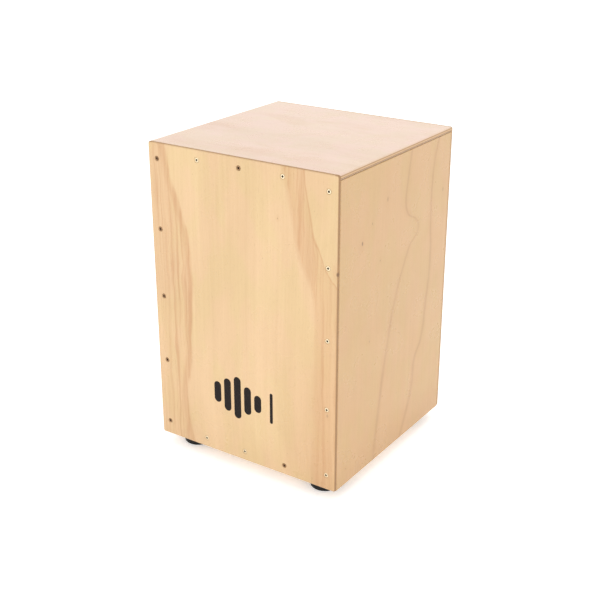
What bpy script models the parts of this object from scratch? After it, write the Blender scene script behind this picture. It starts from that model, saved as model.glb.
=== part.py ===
"""Cajon: a wooden box drum with a screwed playing plate, snare strings and rubber feet.

Frame: the origin is on the floor, below the middle of the box. +Z is up, the playing plate
faces -Y, and +X is to the right of someone who looks at the playing plate.
All lengths are in metres. Left and right are meant as that person sees them.
"""
import math

import bmesh
import bpy
from mathutils import Vector

# ---- Driving dimensions ------------------------------------------------------------------
WIDTH = 0.300                   # along X
DEPTH = 0.300                   # along Y, front plate and back panel included
BODY_HEIGHT = 0.439             # wooden box, without its feet
FOOT_HEIGHT = 0.018
GAP = 0.0003                    # glue line or air between two neighbours

PLATE_THICKNESS = 0.004         # playing plate at the front
BACK_THICKNESS = 0.004
PLY_THICKNESS = 0.0065          # top, bottom and side panels
BATTEN = 0.016                  # square section of the inner battens
TOP_ROUNDING = 0.003            # long edges of the top panel
EDGE_ROUNDING = 0.0012          # eased outer edges of the other panels
HOLE_RADIUS = 0.0575            # sound hole in the back panel
HOLE_CENTRE_Z = 0.290

SCREW_COLUMN_X = 0.1355         # side columns of plate screws
SCREW_COLUMN_STEP = 0.0988
SCREW_ROW_INSET = 0.014         # top and bottom rows, from the edges of the plate
SCREW_ROW_STEP = 0.0677
SCREW_HEAD_RADIUS = 0.0032
SCREW_SHANK_RADIUS = 0.0014
SCREW_LENGTH = 0.016
SCREW_SUNK = 0.0004             # how far the head lies below the surface
RECESS_RADIUS = 0.0014
RECESS_DEPTH = 0.0012

FOOT_RADIUS = 0.0215
FOOT_X = 0.112
FOOT_Y = 0.115
SOLE_EDGE = ((0.0040, 0), (0.0022, 0.0008), (0.0012, 0.0028))   # inset from the radius, height
FOOT_TOP_EDGE = (0.0008, 0.0015)    # the same at the foot's top: inset, height below the top
FOOT_SCREW_HEAD_RADIUS = 0.0045
FOOT_SCREW_HEAD_HEIGHT = 0.0025
FOOT_SCREW_RADIUS = 0.0018
FOOT_SCREW_COVER = 0.0005       # wood left above the point, inside the box
FOOT_SCREW_TAPER = 0.0015
FOOT_WELL_RADIUS = 0.0075       # recess in the sole that takes washer and screw head
FOOT_WELL_DEPTH = 0.0080
FOOT_WELL_EDGE = 0.0006         # chamfer at the mouth of the well
WASHER_THICKNESS = 0.0012

TENSIONER_X = 0.034             # tension bolts, left and right of the middle
BOLT_Y = -0.1362
BOLT_RADIUS = 0.0027
BOLT_TOP_Z = 0.0790
BOLT_CLEARANCE = 0.0005         # round the bolt's shank, in rail, washer and bracket
BOLT_HEAD_RADIUS = 0.0048
BOLT_HEAD_HEIGHT = 0.0046
BOLT_HEAD_SUNK = 0.0009         # head's face above the underside of the box
BOLT_HEAD_EDGE = 0.0004
BOLT_TIP_CHAMFER = 0.0006
BOLT_HEAD_AIR = 0.0010          # round the head, in the bottom panel
WASHER_OVERHANG = 0.0007        # of the tension washer past the bolt's head
HEX_RADIUS = 0.0026             # corner radius of the hexagon socket
HEX_DEPTH = 0.0028
SLIDER_BOTTOM_Z = 0.0520
SLIDER_HEIGHT = 0.0120
SLIDER_WIDTH = 0.0140
SLIDER_FRONT_AIR = 0.0002       # between a slider and the playing plate's rear face
SLIDER_REAR = 0.0052            # from the bolt's axis to the slider's rear face
SLIDER_PASSAGE_RADIUS = 0.0008  # of the strings' holes through a slider
STRING_Y = -0.1441
STRING_RADIUS = 0.0005
STRING_PASSAGE_RADIUS = 0.0009
BALL_RADIUS = 0.0015
ANCHOR_HALF_LENGTH = 0.062
ANCHOR_HEIGHT = 0.008
ANCHOR_FLOOR = 0.003            # wood left below the balls' counterbores
ANCHOR_REAR_INSET = 0.002       # the bar is this much less deep than the rail above it
COUNTERBORE_OFFSET = 0.0001     # towards the back, so that no edges coincide
ANCHOR_SCREW_X = 0.055
ANCHOR_SCREW_LENGTH = 0.0172
STRING_TOP_X = (0.0200, 0.0480)     # inner and outer string, at the anchor bar
STRING_FOOT_OFFSET = 0.0042         # either side of the tension bolt
BRACKET_SHEET = 0.0015
BRACKET_TOP_Z = 0.0760
BRACKET_WING = 0.0100               # width of each screwed wing
BRACKET_SCREW_OFFSET = 0.0142       # from the tension bolt
BRACKET_SCREW_LENGTH = 0.009
BRACKET_FRONT_INSET = 0.0034        # from the shell's front, clear of the strings
BRACKET_REAR_INSET = 0.0006
PAN_HEAD_HEIGHT = 0.0017            # screws of the bracket and of the anchor bar
PAN_HEAD_RADIUS = 0.0029
PAN_HEAD_FLAT = 0.0022
PAN_RECESS_DEPTH = 0.0008
PAN_SCREW_TIP = 0.002

ROUND = 16                      # sides of small round pieces
FINE_ROUND = 24                 # sides of feet
PILOT_ROUND = 12                # sides of small screws and of their holes
HOLE_ROUND = 48                 # sides of the sound hole
CUT_MARGIN = 0.002              # how far a cutter runs past the face it opens

# ---- Planes worked out from them ---------------------------------------------------------
BODY_BOTTOM = FOOT_HEIGHT
BODY_TOP = FOOT_HEIGHT + BODY_HEIGHT
BODY_MIDDLE_Z = (BODY_BOTTOM + BODY_TOP) / 2
OUTER_X = WIDTH / 2
FRONT_Y = -DEPTH / 2
REAR_Y = DEPTH / 2
SHELL_FRONT = FRONT_Y + PLATE_THICKNESS + GAP
SHELL_REAR = REAR_Y - BACK_THICKNESS - GAP
INNER_X = OUTER_X - PLY_THICKNESS - GAP
INNER_BOTTOM = BODY_BOTTOM + PLY_THICKNESS + GAP
INNER_TOP = BODY_TOP - PLY_THICKNESS - GAP
BATTEN_TOP_Z = INNER_BOTTOM + BATTEN            # upper face of the lower battens
ANCHOR_TOP_Z = INNER_TOP - BATTEN - GAP
ANCHOR_BOTTOM_Z = ANCHOR_TOP_Z - ANCHOR_HEIGHT
FRONT_BATTEN_Y = (SHELL_FRONT, SHELL_FRONT + BATTEN)
REAR_BATTEN_Y = (SHELL_REAR - BATTEN, SHELL_REAR)
SIDES = (("left", -1), ("right", 1))


# ---- Materials ---------------------------------------------------------------------------
def make_material(name, color, roughness, metallic=0.0):
    """A Principled material with one colour, roughness and metallic value."""
    material = bpy.data.materials.new(name)
    material.use_nodes = True
    shader = material.node_tree.nodes["Principled BSDF"]
    shader.inputs["Base Color"].default_value = (*color, 1.0)
    shader.inputs["Roughness"].default_value = roughness
    shader.inputs["Metallic"].default_value = metallic
    return material


def wood(name, color):
    """Lacquered wood."""
    return make_material(name, color, 0.45)


def steel(name, level=0.35, roughness=0.35):
    """Bare or plated steel."""
    return make_material(name, (level, level, level), roughness, 1.0)


def rubber(name):
    """Black rubber."""
    return make_material(name, (0.012, 0.012, 0.013), 0.7)


# ---- Shapes ------------------------------------------------------------------------------
def add_object(name, mesh_data, material=None, smooth=False):
    """Turn a bmesh into a named object of the scene."""
    bmesh.ops.recalc_face_normals(mesh_data, faces=mesh_data.faces)
    mesh = bpy.data.meshes.new(name)
    mesh_data.to_mesh(mesh)
    mesh_data.free()
    if smooth:
        mesh.shade_smooth()
        mesh.set_sharp_from_angle(angle=math.radians(35))
    if material:
        mesh.materials.append(material)
    item = bpy.data.objects.new(name, mesh)
    bpy.context.scene.collection.objects.link(item)
    return item


def add_box(mesh_data, low, high):
    """Add a box between two corners."""
    size = Vector(high) - Vector(low)
    middle = (Vector(high) + Vector(low)) / 2
    made = bmesh.ops.create_cube(mesh_data, size=1.0)["verts"]
    for vertex in made:
        vertex.co = Vector(a * b for a, b in zip(vertex.co, size)) + middle


def add_cylinder(mesh_data, start, end, radius, sides=ROUND):
    """Add a capped cylinder between two points."""
    axis = Vector(end) - Vector(start)
    turn = Vector((0, 0, 1)).rotation_difference(axis).to_matrix()
    made = bmesh.ops.create_cone(
        mesh_data,
        cap_ends=True,
        segments=sides,
        radius1=radius,
        radius2=radius,
        depth=axis.length,
    )["verts"]
    middle = (Vector(start) + Vector(end)) / 2
    for vertex in made:
        vertex.co = turn @ vertex.co + middle


def box_piece(name, low, high, material, rounding=0.0, rounded=None):
    """A box-shaped piece. rounded picks the edges, by their two end points, to round over."""
    mesh_data = bmesh.new()
    add_box(mesh_data, low, high)
    if rounding:
        edges = [e for e in mesh_data.edges if rounded(e.verts[0].co, e.verts[1].co)]
        bmesh.ops.bevel(
            mesh_data,
            geom=edges,
            offset=rounding,
            segments=3,
            profile=0.5,
            affect="EDGES",
        )
    return add_object(name, mesh_data, material, smooth=bool(rounding))


def turned_piece(name, profile, material, sides=ROUND, location=(0, 0, 0)):
    """Spin a closed (radius, height) outline about Z. A radius of 0 lies on the axis."""
    mesh_data = bmesh.new()
    rings = []
    for radius, height in profile:
        if radius < 1e-7:
            rings.append([mesh_data.verts.new((0, 0, height))])
            continue
        ring = []
        for step in range(sides):
            angle = math.tau * step / sides
            across = (radius * math.cos(angle), radius * math.sin(angle))
            ring.append(mesh_data.verts.new((*across, height)))
        rings.append(ring)
    closed = profile[0][0] > 0 and profile[-1][0] > 0
    pairs = list(zip(rings, rings[1:]))
    if closed:
        pairs.append((rings[-1], rings[0]))
    for lower, upper in pairs:
        for step in range(sides):
            after = (step + 1) % sides
            if len(lower) == 1:
                mesh_data.faces.new((lower[0], upper[step], upper[after]))
            elif len(upper) == 1:
                mesh_data.faces.new((lower[step], lower[after], upper[0]))
            else:
                mesh_data.faces.new((lower[step], lower[after], upper[after], upper[step]))
    piece = add_object(name, mesh_data, material, smooth=True)
    piece.location = location
    return piece


def cut(piece, name, build):
    """Take the solids that build(mesh_data) makes away from a piece."""
    mesh_data = bmesh.new()
    build(mesh_data)
    cutter = add_object(name, mesh_data)
    cutter.hide_render = True
    cutter.display_type = "WIRE"
    boolean = piece.modifiers.new(name, "BOOLEAN")
    boolean.operation = "DIFFERENCE"
    boolean.solver = "EXACT"
    boolean.object = cutter


# ---- Plate screws ------------------------------------------------------------------------
def plate_screw_places():
    """(x, z) of every screw of the playing plate: two columns, then the top and bottom rows."""
    places = []
    for side in (-1, 1):
        for step in (2, 1, 0, -1, -2):
            places.append((side * SCREW_COLUMN_X, BODY_MIDDLE_Z + step * SCREW_COLUMN_STEP))
    for height in (BODY_TOP - SCREW_ROW_INSET, BODY_BOTTOM + SCREW_ROW_INSET):
        for step in (-1, 0, 1):
            places.append((step * SCREW_ROW_STEP, height))
    return places


def add_screw_sinks(mesh_data):
    """Countersunk clearance holes through the playing plate."""
    cone_depth = SCREW_HEAD_RADIUS - SCREW_SHANK_RADIUS
    clearance = SCREW_SHANK_RADIUS + GAP
    outer = SCREW_HEAD_RADIUS + GAP
    for x, z in plate_screw_places():
        profile = (
            (outer, FRONT_Y - CUT_MARGIN),
            (outer, FRONT_Y + SCREW_SUNK),
            (clearance, FRONT_Y + SCREW_SUNK + cone_depth),
            (clearance, FRONT_Y + PLATE_THICKNESS + CUT_MARGIN),
        )
        add_turned_solid_along_y(mesh_data, x, z, profile)


def add_turned_solid_along_y(mesh_data, x, z, profile):
    """Add a solid of revolution about a line along Y, from (radius, y) steps, capped at both ends."""
    rings = []
    for radius, y in profile:
        ring = []
        for step in range(ROUND):
            angle = math.tau * step / ROUND
            point = (x + radius * math.cos(angle), y, z + radius * math.sin(angle))
            ring.append(mesh_data.verts.new(point))
        rings.append(ring)
    for near, far in zip(rings, rings[1:]):
        for step in range(ROUND):
            after = (step + 1) % ROUND
            mesh_data.faces.new((near[step], near[after], far[after], far[step]))
    mesh_data.faces.new(rings[0])
    mesh_data.faces.new(reversed(rings[-1]))


def add_pilot_holes(mesh_data, wanted):
    """Blind holes in a front batten for the screws that wanted(x, z) picks."""
    for x, z in plate_screw_places():
        if wanted(x, z):
            start = (x, SHELL_FRONT - CUT_MARGIN, z)
            end = (x, FRONT_Y + SCREW_SUNK + SCREW_LENGTH + 2 * GAP, z)
            add_cylinder(mesh_data, start, end, SCREW_SHANK_RADIUS + GAP, sides=PILOT_ROUND)


def make_plate_screw(number, x, z, material):
    """A countersunk wood screw, modelled upright with its head on top and then laid along Y."""
    cone_depth = SCREW_HEAD_RADIUS - SCREW_SHANK_RADIUS
    profile = (
        (0, -RECESS_DEPTH),
        (RECESS_RADIUS * 0.55, -RECESS_DEPTH),
        (RECESS_RADIUS, 0),
        (SCREW_HEAD_RADIUS, 0),
        (SCREW_SHANK_RADIUS, -cone_depth),
        (SCREW_SHANK_RADIUS, -SCREW_LENGTH + 2 * SCREW_SHANK_RADIUS),
        (0, -SCREW_LENGTH),
    )
    screw = turned_piece(f"plate_screw_{number:02d}", profile, material, sides=PILOT_ROUND)
    screw.rotation_euler = (math.radians(90), 0, 0)
    screw.location = (x, FRONT_Y + SCREW_SUNK, z)


# ---- Panels ------------------------------------------------------------------------------
def make_panels():
    """Playing plate, back, top, bottom and the two sides."""
    front = box_piece(
        "front_plate",
        (-OUTER_X, FRONT_Y, BODY_BOTTOM),
        (OUTER_X, FRONT_Y + PLATE_THICKNESS, BODY_TOP),
        wood("birch_front", (0.76, 0.55, 0.32)),
        EDGE_ROUNDING,
        lambda a, b: a.y < FRONT_Y + GAP and b.y < FRONT_Y + GAP,
    )
    cut(front, "screw_sink_cutters", add_screw_sinks)

    back = box_piece(
        "back_panel",
        (-OUTER_X, REAR_Y - BACK_THICKNESS, BODY_BOTTOM),
        (OUTER_X, REAR_Y, BODY_TOP),
        wood("birch_back", (0.72, 0.52, 0.31)),
        EDGE_ROUNDING,
        lambda a, b: a.y > REAR_Y - GAP and b.y > REAR_Y - GAP,
    )
    hole_start = (0, REAR_Y - BACK_THICKNESS - CUT_MARGIN, HOLE_CENTRE_Z)
    hole_end = (0, REAR_Y + CUT_MARGIN, HOLE_CENTRE_Z)
    cut(
        back,
        "sound_hole_cutter",
        lambda mesh_data: add_cylinder(mesh_data, hole_start, hole_end, HOLE_RADIUS, HOLE_ROUND),
    )

    box_piece(
        "top_panel",
        (-OUTER_X, SHELL_FRONT, BODY_TOP - PLY_THICKNESS),
        (OUTER_X, SHELL_REAR, BODY_TOP),
        wood("birch_top", (0.80, 0.62, 0.44)),
        TOP_ROUNDING,
        lambda a, b: abs(a.y - b.y) > DEPTH / 2 and a.z > BODY_TOP - GAP,
    )
    for side, sign in SIDES:
        outer, inner = sign * OUTER_X, sign * (OUTER_X - PLY_THICKNESS)
        box_piece(
            f"side_panel_{side}",
            (min(outer, inner), SHELL_FRONT, BODY_BOTTOM),
            (max(outer, inner), SHELL_REAR, BODY_TOP - PLY_THICKNESS - GAP),
            wood(f"birch_side_{side}", (0.70, 0.49, 0.28)),
        )
    bottom = box_piece(
        "bottom_panel",
        (-INNER_X, SHELL_FRONT, BODY_BOTTOM),
        (INNER_X, SHELL_REAR, BODY_BOTTOM + PLY_THICKNESS),
        wood("birch_bottom", (0.66, 0.47, 0.28)),
    )

    def bottom_holes(mesh_data):
        for _, sign in SIDES:
            add_cylinder(
                mesh_data,
                (sign * TENSIONER_X, BOLT_Y, BODY_BOTTOM - CUT_MARGIN),
                (sign * TENSIONER_X, BOLT_Y, BODY_BOTTOM + PLY_THICKNESS + CUT_MARGIN),
                BOLT_HEAD_RADIUS + BOLT_HEAD_AIR,
            )
        for x, y in foot_places():
            add_cylinder(
                mesh_data,
                (x, y, BODY_BOTTOM - CUT_MARGIN),
                (x, y, BODY_BOTTOM + PLY_THICKNESS + CUT_MARGIN),
                FOOT_SCREW_RADIUS + GAP,
                sides=PILOT_ROUND,
            )

    cut(bottom, "bottom_hole_cutters", bottom_holes)


# ---- Battens -----------------------------------------------------------------------------
def make_battens():
    """Square battens: a frame behind the playing plate and one in front of the back panel."""
    short_x = INNER_X - BATTEN - GAP
    levels = {
        "bottom": (INNER_BOTTOM, INNER_BOTTOM + BATTEN),
        "top": (INNER_TOP - BATTEN, INNER_TOP),
    }
    for place, (near, far) in (("front", FRONT_BATTEN_Y), ("rear", REAR_BATTEN_Y)):
        material = wood(f"spruce_{place}", (0.62, 0.44, 0.26))
        for side, sign in SIDES:
            ends = sorted((sign * INNER_X, sign * (INNER_X - BATTEN)))
            upright = box_piece(
                f"{place}_batten_{side}",
                (ends[0], near, INNER_BOTTOM),
                (ends[1], far, INNER_TOP),
                material,
            )
            if place == "front":
                cut(
                    upright,
                    f"pilot_cutters_{side}",
                    lambda mesh_data, sign=sign: add_pilot_holes(
                        mesh_data, lambda x, z: x * sign > SCREW_COLUMN_X / 2 + SCREW_ROW_STEP / 2
                    ),
                )
        for level, (low, high) in levels.items():
            rail = box_piece(
                f"{place}_batten_{level}",
                (-short_x, near, low),
                (short_x, far, high),
                material,
            )
            if place == "front":
                cut(
                    rail,
                    f"rail_cutters_{level}",
                    lambda mesh_data, level=level: rail_holes(mesh_data, level),
                )


def rail_holes(mesh_data, level):
    """Pilot holes of a front rail, and the ways through it for bolts and for inner screws."""
    middle = BODY_MIDDLE_Z
    if level == "top":
        add_pilot_holes(mesh_data, lambda x, z: abs(x) < SCREW_COLUMN_X - GAP and z > middle)
        for _, sign in SIDES:
            x = sign * ANCHOR_SCREW_X
            add_cylinder(
                mesh_data,
                (x, BOLT_Y, INNER_TOP - BATTEN - CUT_MARGIN),
                (x, BOLT_Y, ANCHOR_BOTTOM_Z + ANCHOR_SCREW_LENGTH + GAP),
                SCREW_SHANK_RADIUS + GAP,
                sides=PILOT_ROUND,
            )
        return
    add_pilot_holes(mesh_data, lambda x, z: abs(x) < SCREW_COLUMN_X - GAP and z < middle)
    for _, sign in SIDES:
        add_cylinder(
            mesh_data,
            (sign * TENSIONER_X, BOLT_Y, INNER_BOTTOM - CUT_MARGIN),
            (sign * TENSIONER_X, BOLT_Y, BATTEN_TOP_Z + CUT_MARGIN),
            BOLT_RADIUS + BOLT_CLEARANCE,
        )
        for offset in (-BRACKET_SCREW_OFFSET, BRACKET_SCREW_OFFSET):
            add_cylinder(
                mesh_data,
                (sign * TENSIONER_X + offset, BOLT_Y, BATTEN_TOP_Z - BRACKET_SCREW_LENGTH),
                (sign * TENSIONER_X + offset, BOLT_Y, BATTEN_TOP_Z + CUT_MARGIN),
                SCREW_SHANK_RADIUS + GAP,
                sides=PILOT_ROUND,
            )


# ---- Feet --------------------------------------------------------------------------------
def foot_places():
    """(x, y) of the feet: front left, front right, rear left, rear right."""
    return [(sx * FOOT_X, sy * FOOT_Y) for sy in (-1, 1) for sx in (-1, 1)]


def make_feet():
    """Turned rubber feet, each with a washer and a pan-head screw in its well."""
    material = rubber("rubber_feet")
    metal = steel("foot_steel", 0.45)
    names = ("front_left", "front_right", "rear_left", "rear_right")
    well = FOOT_WELL_DEPTH
    hole = FOOT_SCREW_RADIUS + GAP
    top = FOOT_HEIGHT - GAP
    foot_profile = (
        (hole, well),
        (FOOT_WELL_RADIUS, well),
        (FOOT_WELL_RADIUS, FOOT_WELL_EDGE),
        (FOOT_WELL_RADIUS + FOOT_WELL_EDGE, 0),
        *((FOOT_RADIUS - inset, height) for inset, height in SOLE_EDGE),
        (FOOT_RADIUS, top - FOOT_TOP_EDGE[1]),
        (FOOT_RADIUS - FOOT_TOP_EDGE[0], top),
        (hole, top),
    )
    head_top = well - WASHER_THICKNESS - 2 * GAP
    screw_end = BODY_BOTTOM + PLY_THICKNESS - FOOT_SCREW_COVER
    screw_profile = (
        (0, head_top - FOOT_SCREW_HEAD_HEIGHT + RECESS_DEPTH),
        (RECESS_RADIUS, head_top - FOOT_SCREW_HEAD_HEIGHT),
        (FOOT_SCREW_HEAD_RADIUS * 0.72, head_top - FOOT_SCREW_HEAD_HEIGHT),
        (FOOT_SCREW_HEAD_RADIUS, head_top - FOOT_SCREW_HEAD_HEIGHT * 0.5),
        (FOOT_SCREW_HEAD_RADIUS, head_top),
        (FOOT_SCREW_RADIUS, head_top),
        (FOOT_SCREW_RADIUS, screw_end - FOOT_SCREW_TAPER),
        (0, screw_end),
    )
    washer_profile = (
        (hole, well - GAP - WASHER_THICKNESS),
        (FOOT_WELL_RADIUS - GAP, well - GAP - WASHER_THICKNESS),
        (FOOT_WELL_RADIUS - GAP, well - GAP),
        (hole, well - GAP),
    )
    for name, (x, y) in zip(names, foot_places()):
        turned_piece(f"foot_{name}", foot_profile, material, FINE_ROUND, (x, y, 0))
        turned_piece(f"foot_screw_{name}", screw_profile, metal, ROUND, (x, y, 0))
        turned_piece(f"foot_washer_{name}", washer_profile, metal, ROUND, (x, y, 0))


# ---- Snare strings -----------------------------------------------------------------------
def string_lines(sign):
    """Bottom and top point of the inner and the outer string of one side."""
    foot_z = SLIDER_BOTTOM_Z - GAP - BALL_RADIUS
    head_z = ANCHOR_BOTTOM_Z + ANCHOR_FLOOR + GAP + BALL_RADIUS
    lines = []
    for top_x, offset in zip(STRING_TOP_X, (-STRING_FOOT_OFFSET, STRING_FOOT_OFFSET)):
        bottom = Vector((sign * (TENSIONER_X + offset), STRING_Y, foot_z))
        top = Vector((sign * top_x, STRING_Y, head_z))
        lines.append((bottom, top))
    return lines


def make_string(name, bottom, top, material):
    """A plain steel string with a ball at each end, as one turned piece along its line."""
    length = (top - bottom).length
    neck = math.asin(STRING_RADIUS / BALL_RADIUS)
    arcs = [math.pi * (step + 1) / 6 for step in range(4)]
    lower = [(BALL_RADIUS * math.sin(a), -BALL_RADIUS * math.cos(a)) for a in arcs]
    lower.append((STRING_RADIUS, BALL_RADIUS * math.cos(neck)))
    upper = [(radius, length - height) for radius, height in reversed(lower)]
    profile = [(0, -BALL_RADIUS), *lower, *upper, (0, length + BALL_RADIUS)]
    string = turned_piece(name, profile, material, sides=8, location=bottom)
    string.rotation_mode = "QUATERNION"
    string.rotation_quaternion = Vector((0, 0, 1)).rotation_difference(top - bottom)


def make_anchor_bar(material):
    """Hardwood bar under the top rail; the strings' upper balls sit in its counterbores."""
    bar = box_piece(
        "string_anchor_bar",
        (-ANCHOR_HALF_LENGTH, FRONT_BATTEN_Y[0], ANCHOR_BOTTOM_Z),
        (ANCHOR_HALF_LENGTH, FRONT_BATTEN_Y[1] - ANCHOR_REAR_INSET, ANCHOR_TOP_Z),
        material,
    )

    def ways(mesh_data):
        for _, sign in SIDES:
            for bottom, top in string_lines(sign):
                way = (top - bottom).normalized()
                start = top - way * (ANCHOR_HEIGHT + CUT_MARGIN)
                end = top - way * BALL_RADIUS * 0.5
                add_cylinder(mesh_data, start, end, STRING_PASSAGE_RADIUS, sides=PILOT_ROUND)

    def counterbores(mesh_data):
        for _, sign in SIDES:
            for _, top in string_lines(sign):
                low = (top.x, top.y + COUNTERBORE_OFFSET, ANCHOR_BOTTOM_Z + ANCHOR_FLOOR)
                high = (top.x, top.y + COUNTERBORE_OFFSET, ANCHOR_TOP_Z + CUT_MARGIN)
                add_cylinder(mesh_data, low, high, BALL_RADIUS + GAP, sides=PILOT_ROUND)
            x = sign * ANCHOR_SCREW_X
            low = (x, BOLT_Y, ANCHOR_BOTTOM_Z - CUT_MARGIN)
            high = (x, BOLT_Y, ANCHOR_TOP_Z + CUT_MARGIN)
            add_cylinder(mesh_data, low, high, SCREW_SHANK_RADIUS + GAP, sides=PILOT_ROUND)

    cut(bar, "string_way_cutters", ways)
    cut(bar, "counterbore_cutters", counterbores)


def make_slider(side, sign, material):
    """Threaded block that a tension bolt draws up or down; it holds the lower string balls."""
    x = sign * TENSIONER_X
    low = (x - SLIDER_WIDTH / 2, SHELL_FRONT + SLIDER_FRONT_AIR, SLIDER_BOTTOM_Z)
    high = (x + SLIDER_WIDTH / 2, BOLT_Y + SLIDER_REAR, SLIDER_BOTTOM_Z + SLIDER_HEIGHT)
    slider = box_piece(f"hook_slider_{side}", low, high, material)

    def ways(mesh_data):
        bolt_low = (x, BOLT_Y, SLIDER_BOTTOM_Z - CUT_MARGIN)
        bolt_high = (x, BOLT_Y, SLIDER_BOTTOM_Z + SLIDER_HEIGHT + CUT_MARGIN)
        add_cylinder(mesh_data, bolt_low, bolt_high, BOLT_RADIUS + GAP)
        for bottom, top in string_lines(sign):
            way = (top - bottom).normalized()
            end = bottom + way * (SLIDER_HEIGHT + BALL_RADIUS + CUT_MARGIN)
            add_cylinder(mesh_data, bottom, end, SLIDER_PASSAGE_RADIUS, sides=PILOT_ROUND)

    cut(slider, f"slider_cutters_{side}", ways)


def make_tension_bolt(side, sign, material):
    """Socket-head bolt from the underside up through bottom panel, rail and slider."""
    head_low = BODY_BOTTOM + BOLT_HEAD_SUNK
    head_high = head_low + BOLT_HEAD_HEIGHT
    profile = (
        (0, head_low),
        (BOLT_HEAD_RADIUS - BOLT_HEAD_EDGE, head_low),
        (BOLT_HEAD_RADIUS, head_low + BOLT_HEAD_EDGE),
        (BOLT_HEAD_RADIUS, head_high),
        (BOLT_RADIUS, head_high),
        (BOLT_RADIUS, BOLT_TOP_Z - BOLT_TIP_CHAMFER),
        (BOLT_RADIUS - BOLT_TIP_CHAMFER, BOLT_TOP_Z),
        (0, BOLT_TOP_Z),
    )
    place = (sign * TENSIONER_X, BOLT_Y, 0)
    bolt = turned_piece(f"tension_bolt_{side}", profile, material, ROUND, place)
    low = (place[0], place[1], head_low - CUT_MARGIN)
    high = (place[0], place[1], head_low + HEX_DEPTH)
    cut(
        bolt,
        f"hex_cutter_{side}",
        lambda mesh_data: add_cylinder(mesh_data, low, high, HEX_RADIUS, sides=6),
    )
    ring = (
        (BOLT_RADIUS + BOLT_CLEARANCE, head_high + GAP),
        (BOLT_HEAD_RADIUS + WASHER_OVERHANG, head_high + GAP),
        (BOLT_HEAD_RADIUS + WASHER_OVERHANG, INNER_BOTTOM - GAP),
        (BOLT_RADIUS + BOLT_CLEARANCE, INNER_BOTTOM - GAP),
    )
    turned_piece(f"tension_washer_{side}", ring, material, ROUND, place)


def make_bracket(material, screw_material):
    """Folded sheet on the bottom rail: two channels that keep the sliders from turning."""
    base_low = BATTEN_TOP_Z + GAP
    base_high = base_low + BRACKET_SHEET
    inner = SLIDER_WIDTH / 2 + GAP
    wall = inner + BRACKET_SHEET
    half = TENSIONER_X + wall + BRACKET_WING
    front = SHELL_FRONT + BRACKET_FRONT_INSET
    rear = FRONT_BATTEN_Y[1] - BRACKET_REAR_INSET
    outline = [(-half, base_low), (half, base_low), (half, base_high)]
    for x in (TENSIONER_X, -TENSIONER_X):
        for near, far in ((wall, inner), (-inner, -wall)):
            outline.append((x + near, base_high))
            outline.append((x + near, BRACKET_TOP_Z))
            outline.append((x + far, BRACKET_TOP_Z))
            outline.append((x + far, base_high))
    outline.append((-half, base_high))
    mesh_data = bmesh.new()
    face = mesh_data.faces.new([mesh_data.verts.new((x, front, z)) for x, z in outline])
    pushed = bmesh.ops.extrude_face_region(mesh_data, geom=[face])["geom"]
    corners = [item for item in pushed if isinstance(item, bmesh.types.BMVert)]
    bmesh.ops.translate(mesh_data, verts=corners, vec=(0, rear - front, 0))
    bracket = add_object("slider_bracket", mesh_data, material)

    def holes(cutter_data):
        low_z, high_z = base_low - CUT_MARGIN, base_high + CUT_MARGIN
        for _, sign in SIDES:
            x = sign * TENSIONER_X
            radius = BOLT_RADIUS + BOLT_CLEARANCE
            add_cylinder(cutter_data, (x, BOLT_Y, low_z), (x, BOLT_Y, high_z), radius)
            for offset in (-BRACKET_SCREW_OFFSET, BRACKET_SCREW_OFFSET):
                low, high = (x + offset, BOLT_Y, low_z), (x + offset, BOLT_Y, high_z)
                add_cylinder(cutter_data, low, high, SCREW_SHANK_RADIUS + GAP, sides=PILOT_ROUND)

    cut(bracket, "bracket_cutters", holes)
    for side, sign in SIDES:
        for place, outward in (("outer", 1), ("inner", -1)):
            x = sign * (TENSIONER_X + outward * BRACKET_SCREW_OFFSET)
            seat = (x, BOLT_Y, base_high + GAP)
            name = f"bracket_screw_{side}_{place}"
            make_pan_screw(name, seat, BRACKET_SCREW_LENGTH, screw_material, head_up=True)


def make_pan_screw(name, seat, length, material, head_up):
    """A small pan-head screw. seat is the point under its head; the shank runs away from it."""
    sign = 1 if head_up else -1
    head = PAN_HEAD_HEIGHT
    profile = [
        (0, sign * (head - PAN_RECESS_DEPTH)),
        (RECESS_RADIUS, sign * head),
        (PAN_HEAD_FLAT, sign * head),
        (PAN_HEAD_RADIUS, sign * head * 0.5),
        (PAN_HEAD_RADIUS, 0),
        (SCREW_SHANK_RADIUS, 0),
        (SCREW_SHANK_RADIUS, -sign * (length - PAN_SCREW_TIP)),
        (0, -sign * length),
    ]
    turned_piece(name, profile, material, sides=PILOT_ROUND, location=seat)


def make_snare_mechanism():
    """Anchor bar, strings, sliders, tension bolts, guide brackets and their screws."""
    make_anchor_bar(wood("beech_anchor", (0.58, 0.38, 0.22)))
    screw_material = steel("zinc_screws", 0.5)
    block_material = make_material("brass_sliders", (0.62, 0.45, 0.18), 0.35, 1.0)
    bolt_material = steel("bolt_steel", 0.16, 0.4)
    bracket_material = steel("bracket_steel", 0.5, 0.4)
    string_material = steel("string_steel", 0.6, 0.25)
    make_bracket(bracket_material, screw_material)
    for side, sign in SIDES:
        seat = (sign * ANCHOR_SCREW_X, BOLT_Y, ANCHOR_BOTTOM_Z - GAP)
        make_pan_screw(f"anchor_screw_{side}", seat, ANCHOR_SCREW_LENGTH, screw_material, head_up=False)
        make_slider(side, sign, block_material)
        make_tension_bolt(side, sign, bolt_material)
        for place, (bottom, top) in zip(("inner", "outer"), string_lines(sign)):
            make_string(f"snare_string_{side}_{place}", bottom, top, string_material)


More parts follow.
